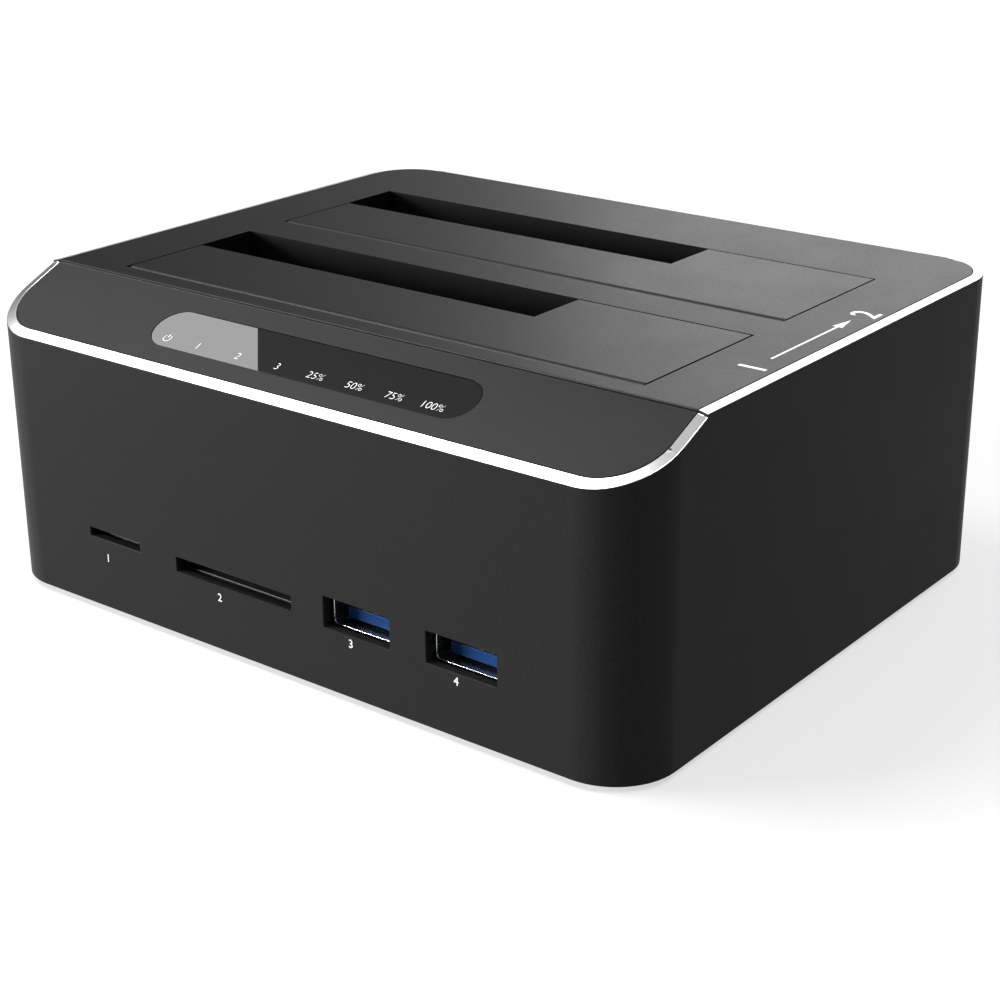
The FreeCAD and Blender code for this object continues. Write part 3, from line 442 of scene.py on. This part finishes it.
LENS_NUMBER = 2.0
LENS_WEIGHT = -0.04
LENS_MARK_Y = 6.5
POWER_SIGN = "⏻"
LENS_MARKS = {POWER_SIGN: 37.3, "1": 44.1, "2": 52.6, "3": 60.8, "25%": 68.5, "50%": 76.1, "75%": 83.65,
              "100%": 90.7}
lens_faces = frame["nodes"]["indicator_lens"].data.polygons
lens_face = max((face for face in lens_faces if face.normal.z > FACING_UP), key=lambda face: face.area)
slope = lens_face.normal.copy()
for number, (text, x) in enumerate(LENS_MARKS.items()):
    mark_place = corner_point(x, LENS_MARK_Y, 0)
    from_middle = mark_place - lens_face.center
    mark_place.z = lens_face.center.z - from_middle.dot(Vector((slope.x, slope.y, 0))) / slope.z
    printed(text, LENS_NUMBER, LENS_WEIGHT, "lens_mark_" + str(number), mark_place, ACROSS, slope, white_ink)


# Light guide, lamps and indicator board
# A white moulding keeps the light of the eight lamps apart on its way to the lens. The lamps are soldered
# to a small green board, and a flat cable with a white socket at each end goes from there to the main board.

TRACE_PITCH = 1.3
TRACE_PATCH = 7.0
TRACE_EDGE = (0.62, 0.72)
TRACE_HEIGHT = 0.035
VIA_PITCH = 3.1
VIA_RADIUS = 0.3
VIA_SHARP_SHARE = 0.8
CABLE_PITCH = 1.0
WIRE_HEIGHT = 0.05

# The bands of a wave texture are this far apart at a scale of 1.
WAVE_STEP = math.pi / 10

# White ABS: an even warm white with a faint flow pattern.
white_abs = grained("white_abs", "#d2d1cc", "#e0dfda", (0.45, 0.55), 0.4, 6.0, 0.003)

# Clear epoxy cast over a lamp's yellow phosphor: pale yellow and glossy.
lamp_epoxy = grained("cast_clear_epoxy", "#d8cf96", "#ece4b0", (0.15, 0.25), 0.3, 1.0, 0.001)

# Solder mask over copper, cured from a green lacquer: it is paler where a copper trace lies under it, and
# tinned rings stand in it where the traces change sides. Traces are drawn 1.3 mm apart, rings 0.6 mm wide.
solder_mask, tree, shader, place = new_material("green_solder_mask", {})
bands = add(tree, "ShaderNodeTexWave", {"bands_direction": "X", "Scale": WAVE_STEP / (TRACE_PITCH * MM)},
            {"Vector": place}).outputs["Fac"]
bands_y = add(tree, "ShaderNodeTexWave", {"bands_direction": "Y", "Scale": WAVE_STEP / (TRACE_PITCH * MM)},
              {"Vector": place}).outputs["Fac"]
region = add(tree, "ShaderNodeTexNoise", {"Scale": 1 / (TRACE_PATCH * MM), "Detail": 0.0}, {"Vector": place})
turned = add(tree, "ShaderNodeMath", {"operation": "GREATER_THAN", 1: 0.5},
             {0: region.outputs["Fac"]}).outputs[0]
chosen = add(tree, "ShaderNodeMix", {"data_type": "FLOAT"}, {0: turned, 2: bands, 3: bands_y}).outputs[0]
trace = add(tree, "ShaderNodeMapRange", {"From Min": TRACE_EDGE[0], "From Max": TRACE_EDGE[1]},
            {"Value": chosen}).outputs["Result"]
holes = add(tree, "ShaderNodeTexVoronoi", {"Scale": 1 / (VIA_PITCH * MM)},
            {"Vector": place}).outputs["Distance"]
ring_share = VIA_RADIUS / VIA_PITCH
ring = add(tree, "ShaderNodeMapRange",
           {"From Min": ring_share, "From Max": VIA_SHARP_SHARE * ring_share}, {"Value": holes})
mask = add(tree, "ShaderNodeMix",
           {"data_type": "RGBA", 6: linear("#0b4127"), 7: linear("#156a3e")}, {0: trace})
board_colour = add(tree, "ShaderNodeMix", {"data_type": "RGBA", 7: linear("#b9bab4")},
                   {0: ring.outputs["Result"], 6: mask.outputs[2]})
board_bump = add(tree, "ShaderNodeBump", {"Strength": 0.6, "Distance": TRACE_HEIGHT * MM},
                 {"Height": trace})
board_sheen = add(tree, "ShaderNodeMapRange", {"To Min": 0.3, "To Max": 0.22}, {"Value": trace})
tree.links.new(board_colour.outputs[2], shader.inputs["Base Color"])
tree.links.new(board_sheen.outputs["Result"], shader.inputs["Roughness"])
tree.links.new(board_bump.outputs["Normal"], shader.inputs["Normal"])

# Polyester film over flat tinned wires: white, with a low ridge and a greyer stripe for each wire. The
# wires are 1 mm apart, as in such a cable.
cable_film, tree, shader, place = new_material("laminated_cable_film", {})
wires = add(tree, "ShaderNodeTexWave", {"bands_direction": "X", "Scale": WAVE_STEP / (CABLE_PITCH * MM)},
            {"Vector": place}).outputs["Fac"]
film_colour = add(tree, "ShaderNodeMix",
                  {"data_type": "RGBA", 6: linear("#d8dade"), 7: linear("#b4b7bd")}, {0: wires})
film_bump = add(tree, "ShaderNodeBump", {"Strength": 0.6, "Distance": WIRE_HEIGHT * MM}, {"Height": wires})
film_sheen = add(tree, "ShaderNodeMapRange", {"To Min": 0.3, "To Max": 0.4}, {"Value": wires})
tree.links.new(film_colour.outputs[2], shader.inputs["Base Color"])
tree.links.new(film_sheen.outputs["Result"], shader.inputs["Roughness"])
tree.links.new(film_bump.outputs["Normal"], shader.inputs["Normal"])

coated(["light_guide", "cable_sockets"], white_abs)
coated(["indicator_lamps"], lamp_epoxy)
coated(["indicator_board"], solder_mask)
coated(["indicator_cable"], cable_film)


# Card sockets
# Black trays with gold-plated contacts, soldered to the main board behind the two card slots. A thin
# plated lid, folded from sheet, snaps over each one.

TRAY_EDGE = 0.08

# Nickel on steel sheet: a warm grey metal, satin from the rolling, with fine marks of 0.3 mm.
nickel = grained("nickel_plated_sheet", "#b9b7b2", "#c9c7c2", (0.24, 0.28), 0.3, 3.0, 0.0002,
                 {"Metallic": 1.0})
for node in ("card_socket", "micro_card_socket"):
    dressed(node, [black_insulator], TRAY_EDGE)
coated(["card_socket_lid", "micro_card_socket_lid"], nickel)
coated(["card_contacts", "micro_card_contacts"], gold)


# USB sockets
# Three sockets, two in front and a square one behind. Each is a shell folded from plated sheet with
# rounded corners, round a blue moulded core, and is soldered to the main board. The two in front show
# their gold-plated contacts.

SHELL_EDGE = 0.1
SQUARE_SHELL_EDGE = 0.06
CORE_EDGE = 0.08
SQUARE_CORE_EDGE = 0.1

# Nylon coloured through: a deep blue with a satin face.
blue_insulator = grained("blue_nylon", "#0c2e5a", "#103667", (0.35, 0.48), 0.3, 3.0, 0.003,
                         {"Specular IOR Level": 0.12})
for side in ("left", "right"):
    dressed("usb_socket_shell_" + side, [nickel], SHELL_EDGE)
    dressed("usb_socket_core_" + side, [blue_insulator], CORE_EDGE)
dressed("usb_b_shell", [nickel], SQUARE_SHELL_EDGE)
dressed("usb_b_core", [blue_insulator], SQUARE_CORE_EDGE)
coated(["usb_socket_contacts"], gold)


# Power socket, buttons and switches
# A round power inlet with a plated pin and two push buttons, in the rear wall. Each button slides in its
# hole and bears on a small switch, soldered to the main board.

POWER_SOCKET_EDGE = 0.12
BUTTON_EDGE = 0.1
dressed("dc_socket", [black_insulator], POWER_SOCKET_EDGE)
coated(["dc_socket_pin"], nickel)

# ABS from a polished mould, rubbed satin: black, a shade lighter than the sleeve round it.
button_plastic = grained("satin_black_abs", "#1b1b1c", "#262628", (0.30, 0.4), 0.3, 5.0, 0.003)
for node in ("power_button", "copy_button"):
    dressed(node, [button_plastic], BUTTON_EDGE)
coated(["power_switch", "copy_switch"], black_insulator)


# Main board and its parts
# The board rests on posts of the base plate, held by its hooks. Moulded chips, ferrite coils, aluminium
# cans and steel-cased crystals are soldered to it, none of them marked.

# Epoxy moulded round a chip: a matt charcoal with the mould's fine pits.
chip_epoxy = grained("moulded_chip_epoxy", "#1a1a1c", "#232326", (0.5, 0.65), 0.2, 2.0, 0.004)

# Ferrite powder, pressed and fired: a dull dark grey with a grainy, slightly rough face.
ferrite = grained("pressed_ferrite", "#2b2b2d", "#38383a", (0.6, 0.75), 0.2, 2.0, 0.004)

# Aluminium drawn into a can: pale grey and satin.
drawn_can = grained("drawn_aluminium", "#9a9ca0", "#b2b4b8", (0.3, 0.4), 0.4, 4.0, 0.002, {"Metallic": 1.0})
coated(["main_board"], solder_mask)
coated(["bridge_chip", "hub_chip", "card_reader_chip", "memory_chip"], chip_epoxy)
coated(["coils"], ferrite)
coated(["capacitors"], drawn_can)
coated(["crystals"], drawn_steel)


# Floor and background
# A matt white floor that keeps the part's shadow. It glows a little for the camera and for gloss, so it
# reads white in both without throwing more light on the part. The room is grey, and dark on the left.

FLOOR_SIZE = 40000.0
FLOOR_PATCH = 400.0
FLOOR_GLOW = 0.6
FAR_FLOOR = 0.69
ROOM_LIGHT = 0.34
ROOM_DARK = 0.015
DARK_CORNER = (-0.985, 0.174, 0.0)
DARK_FADE = (0.66, 0.84)
floor_shape = bmesh.new()
bmesh.ops.create_grid(floor_shape, x_segments=1, y_segments=1, size=FLOOR_SIZE * MM / 2)
floor_mesh = bpy.data.meshes.new("floor")
floor_shape.to_mesh(floor_mesh)
floor_shape.free()
floor = bpy.data.objects.new("floor", floor_mesh)
bpy.context.scene.collection.objects.link(floor)

# Matt paper, rolled out: a mid white without gloss, whose tone drifts a little over each 400 mm.
paper, tree, shader, place = new_material(
    "matt_white_paper", {"Roughness": 0.9, "Specular IOR Level": 0.0, "Emission Color": linear("#ffffff")})
drift = add(tree, "ShaderNodeTexNoise", {"Scale": 1 / (FLOOR_PATCH * MM)}, {"Vector": place}).outputs["Fac"]
paper_colour = add(tree, "ShaderNodeMix", {"data_type": "RGBA", 6: linear("#939393"), 7: linear("#969696")},
                   {0: drift})
tree.links.new(paper_colour.outputs[2], shader.inputs["Base Color"])
ray = add(tree, "ShaderNodeLightPath").outputs
gloss = add(tree, "ShaderNodeMath", {"operation": "MAXIMUM"},
            {0: ray["Is Camera Ray"], 1: ray["Is Glossy Ray"]}).outputs[0]
seen = add(tree, "ShaderNodeMath", {"operation": "MAXIMUM"},
           {0: gloss, 1: ray["Is Transmission Ray"]}).outputs[0]
glow = add(tree, "ShaderNodeMath", {"operation": "MULTIPLY", 1: FLOOR_GLOW}, {0: seen})
tree.links.new(glow.outputs[0], shader.inputs["Emission Strength"])
floor_mesh.materials.append(paper)

world = bpy.data.worlds.new("studio")
bpy.context.scene.world = world
world.use_nodes = True
tree = world.node_tree
tree.nodes.clear()
toward = add(tree, "ShaderNodeVectorMath", {"operation": "DOT_PRODUCT", 1: DARK_CORNER},
             {0: add(tree, "ShaderNodeTexCoord").outputs["Generated"]})
room = add(tree, "ShaderNodeMapRange",
           {"From Min": DARK_FADE[0], "From Max": DARK_FADE[1], "To Min": ROOM_LIGHT, "To Max": ROOM_DARK},
           {"Value": toward.outputs["Value"]}).outputs["Result"]
shown = add(tree, "ShaderNodeMix", {"data_type": "FLOAT", 3: FAR_FLOOR},
            {0: add(tree, "ShaderNodeLightPath").outputs["Is Camera Ray"], 2: room}).outputs[0]
backdrop = add(tree, "ShaderNodeBackground", {"Color": linear("#ffffff")}, {"Strength": shown})
add(tree, "ShaderNodeOutputWorld", links={"Surface": backdrop.outputs[0]})


# Lights
# Four soft boxes: high on the left for the slope and the bright rim, low in front on the left for the
# front, low behind for the sheen that runs up the top to the right, and high on the right for the floor.
# Each has its place and its width and height in millimetres, and its power in watts.


def soft_box(name, place, size, power):
    light = bpy.data.lights.new(name, "AREA")
    light.shape = "RECTANGLE"
    light.size, light.size_y = size[0] * MM, size[1] * MM
    light.energy = power
    box = bpy.data.objects.new(name, light)
    bpy.context.scene.collection.objects.link(box)
    stand = Vector(place) * MM
    aim = (-stand).to_track_quat("-Z", "Y")
    box.matrix_world = Matrix.Translation(stand) @ aim.to_matrix().to_4x4()
    box.visible_camera = False


soft_box("left", (-640, -210, 1000), (450, 580), 10.4)
soft_box("front_left", (-950, -780, 200), (600, 350), 39.0)
soft_box("rear", (-320, 1100, 500), (800, 600), 3.3)
soft_box("right", (600, -100, 1300), (750, 750), 10.0)


# Camera
# It stands in front on the right, above the part, and looks down on its top, front and right side. Its
# lens is a long one of 73 mm, so the part's far corners don't shrink much.

CAMERA_PLACE = Vector((197.82, -251.52, 141.26))
TURN = 37.601
TILT = 21.322
ROLL = -0.298
SENSOR = 36.0
FOCAL_SHARE = 2.020507
SHIFT = (-0.01525, -0.0231)
NEAR_LIMIT = 10.0
camera_data = bpy.data.cameras.new("camera")
camera_data.sensor_width = SENSOR
camera_data.lens = FOCAL_SHARE * SENSOR
camera_data.shift_x, camera_data.shift_y = SHIFT
camera_data.clip_start = NEAR_LIMIT * MM
camera = bpy.data.objects.new("camera", camera_data)
bpy.context.scene.collection.objects.link(camera)
camera.matrix_world = (Matrix.Translation(CAMERA_PLACE * MM)
                       @ Matrix.Rotation(math.radians(TURN), 4, "Z")
                       @ Matrix.Rotation(math.radians(90 - TILT), 4, "X")
                       @ Matrix.Rotation(math.radians(ROLL), 4, "Z"))
bpy.context.scene.camera = camera
bpy.context.scene.view_settings.view_transform = "Standard"
